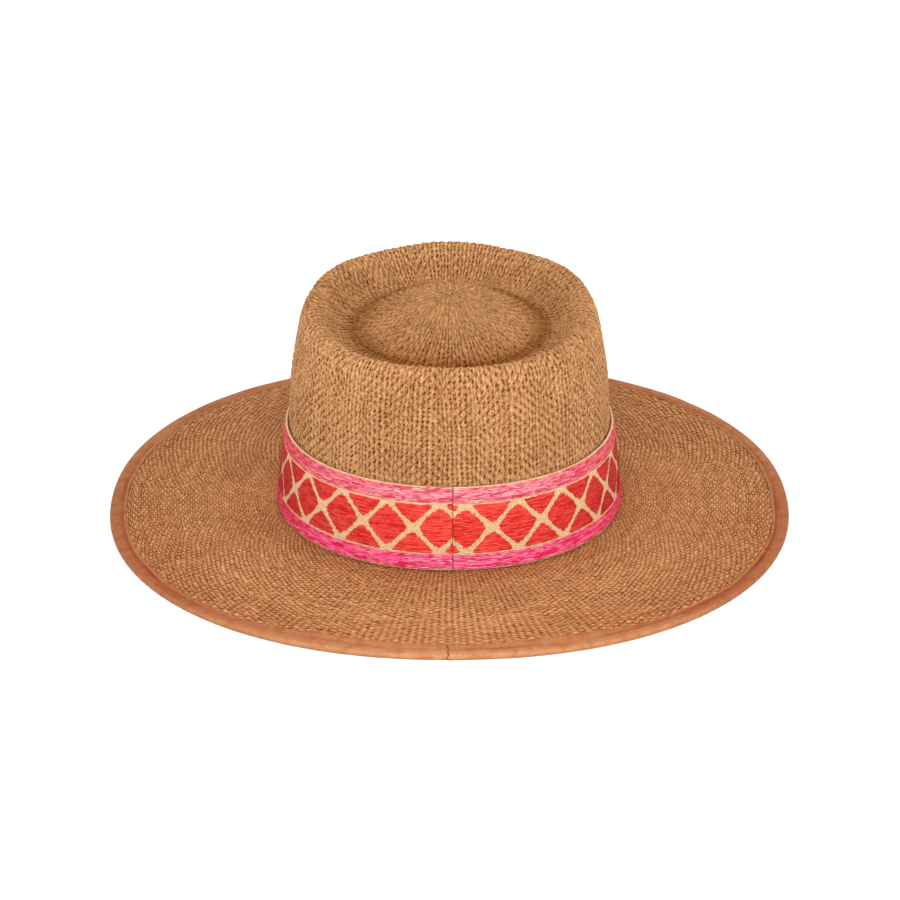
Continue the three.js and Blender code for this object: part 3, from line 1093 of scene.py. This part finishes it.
def buildBinding():
    b = binding
    joint = b["jointAt"] / b["halfLength"]
    angle = -math.pi / 2 + joint + 2 * math.pi * np.arange(b["steps"]) / b["steps"]
    close = np.linspace(-1, 1, b["jointSteps"]) * b["jointReach"] / b["halfLength"]
    close = -math.pi / 2 + joint + close
    angle = np.sort(np.r_[angle[3:-2], close])[:, None]
    turn = np.degrees(np.arccos(np.clip(-np.sin(angle), -1, 1)))
    section = np.array(b["outerFold"] + b["innerFold"])
    isTop = section[:, 1] > b["topAbove"]
    pucker = unevenness((len(angle), 4), 7, 0.6)
    nearGroove = np.clip(1.9 - np.abs(section[:, 0] - b["grooveAt"]), 0, 1) * isTop
    r = section[:, 0] + (0.3 * pucker[:, :1] - b["grooveIn"]) * nearGroove
    r = r + fromTable(turn, b["grooveOuts"]) * (np.clip((178 - section[:, 0]) / 2, 0, 1) * isTop)
    atBack = np.clip((-np.sin(angle) - 0.86) / 0.08, 0, 1)
    atBack = atBack**2 * (3 - 2 * atBack) * (1 - 0.5 * hill(np.cos(angle), 0.2))
    atBack = atBack * np.interp(section[:, 0], [171.9, 174.0], [1, 0])
    r = r + 0.25 * pucker[:, 1:2] * (section[:, 0] < 173) - b["lipIn"] * atBack
    z = section[:, 1] + 0.1 * pucker[:, 2:3] * (section[:, 1] > 2.5) + b["lipUp"] * atBack
    # one end of the ribbon laps over the other, cut with small jags
    jag = 0.4 * np.sin(section[:, 0] * 2.4 + section[:, 1] * 3.1)
    jag = jag + 0.25 * np.sin(section[:, 0] * 5.3)
    past = ((angle + math.pi / 2 - joint) * b["halfLength"]) - jag
    lap = b["lap"] * np.clip(past / 0.3 + 0.5, 0, 1) * np.clip((9 - past) / 8, 0, 1)
    r = r + lap * (section[:, 0] > 180)
    z = z + lap * (section[:, 1] > 1.8)
    cut = hill(past, b["cutWidth"])
    tone = bindingPaintedShade(b, section, turn, pucker[:, 3:4])
    p = pointAt(bindingCurve, np.broadcast_to(angle, r.shape), r - b["from"])
    p[..., 2] = z
    tones = {"tone": tone[:, ::-1], "cut": cut[:, ::-1]}
    ring = addRing("brim_binding_ribbon", p[:, ::-1], ribbonMaterial(), tones)
    return finishPiece(ring, "brim_binding")


ribbonLook = {
    "colors": [(0.25, (155, 106, 66)), (0.5, (179, 127, 85)), (0.75, (199, 149, 103))],
    # shaded is the colour of the painted shade, cut that of the dark cut joint
    "shaded": (171, 86, 0), "cut": (128, 84, 62),
    "ribs": 12, "ribShare": 0.16,  # ribs to the centimetre
    "fine": (30, 6, 1), "fineShare": 0.84,
    "patches": (1.6, 1.6, 1), "patchRange": (0.45, 0.65), "patchColor": (242, 222, 206),
    "roughness": 0.5, "fineRough": 0.25, "specular": 0.12,
    "bump": 0.55, "bumpDepth": 0.15 * mm,
}


def ribbonMaterial():
    look = ribbonLook
    mat, tree, shader = newMaterial("bindingRibbon")
    uv, u, _ = uvPlaces(tree)
    ribs = maths(tree, "SINE", times(tree, u, 2 * math.pi * look["ribs"]))
    ribs = addShare(tree, 0.5, ribs, 0.5)
    fine = noise(tree, scaled(tree, uv, look["fine"]), 1.0, 3.0)
    mix = addShare(tree, times(tree, ribs, look["ribShare"]), fine, look["fineShare"])
    patches = noise(tree, scaled(tree, uv, look["patches"]), 1.0, 2.0)
    patches = rising(tree, patches, *look["patchRange"])
    color = shaded(tree, ramp(tree, mix, look["colors"]), patches, look["patchColor"])
    # painted shade
    color = shaded(tree, color, pointValue(tree, "tone"), look["shaded"])
    color = shaded(tree, color, pointValue(tree, "cut"), look["cut"])
    rough = addShare(tree, look["roughness"], fine, look["fineRough"])
    finishShader(tree, shader, look, color, rough, mix)
    return mat


ribbon = buildBinding()

# floor and light
studio = {
    "floorSize": 6.0, "floor": (247, 246, 244), "floorRough": 0.9,
    "floorGlow": 0.6, "glowFrom": 0.22, "glowTo": 0.5,
    "world": 0.4,
    "aim": (0, 0, 0.05),
    "key": {"place": (0.0, -1.2, 1.1), "size": 0.8, "power": 19},
    "left": {"place": (-1.4, -0.5, 0.9), "size": 1.0, "power": 11.3},
    "right": {"place": (1.4, -0.5, 0.9), "size": 1.0, "power": 14},
    "back": {"place": (0, 0.7, 2.2), "size": 1.4, "power": 19},
}


def addStudio(s):
    half = s["floorSize"] / mm
    points = [(x * half, y * half, 0) for x, y in ((-1, -1), (1, -1), (1, 1), (-1, 1))]
    mat, tree, shader = newMaterial("paleFloor")
    shader.inputs["Base Color"].default_value = linear(s["floor"])
    shader.inputs["Roughness"].default_value = s["floorRough"]
    # away from the hat the floor glows, so that it is one white up to the horizon
    place = addNode(tree, "TexCoord").outputs["Object"]
    away = addNode(tree, "VectorMath", {0: place}, operation="LENGTH").outputs["Value"]
    glow = rising(tree, away, s["glowFrom"], s["glowTo"], s["floorGlow"])
    shader.inputs["Emission Color"].default_value = (1, 1, 1, 1)
    tree.links.new(glow, shader.inputs["Emission Strength"])
    floor = addMesh("floor", points, [(0, 1, 2, 3)], material=mat)
    world = bpy.data.worlds.new("studio")
    world.use_nodes = True
    background = world.node_tree.nodes["Background"]
    background.inputs[0].default_value = (1, 1, 1, 1)
    background.inputs[1].default_value = s["world"]
    scene.world = world
    for name in ("key", "left", "right", "back"):
        light = bpy.data.lights.new(name, "AREA")
        light.shape = "DISK"
        light.size = s[name]["size"]
        light.energy = s[name]["power"]
        lamp = bpy.data.objects.new(name, light)
        lamp.location = s[name]["place"]
        toHat = Vector(s["aim"]) - lamp.location
        lamp.rotation_euler = toHat.to_track_quat("-Z", "Y").to_euler()
        scene.collection.objects.link(lamp)
    scene.view_settings.view_transform = "Standard"
    print("studio ready")


addStudio(studio)
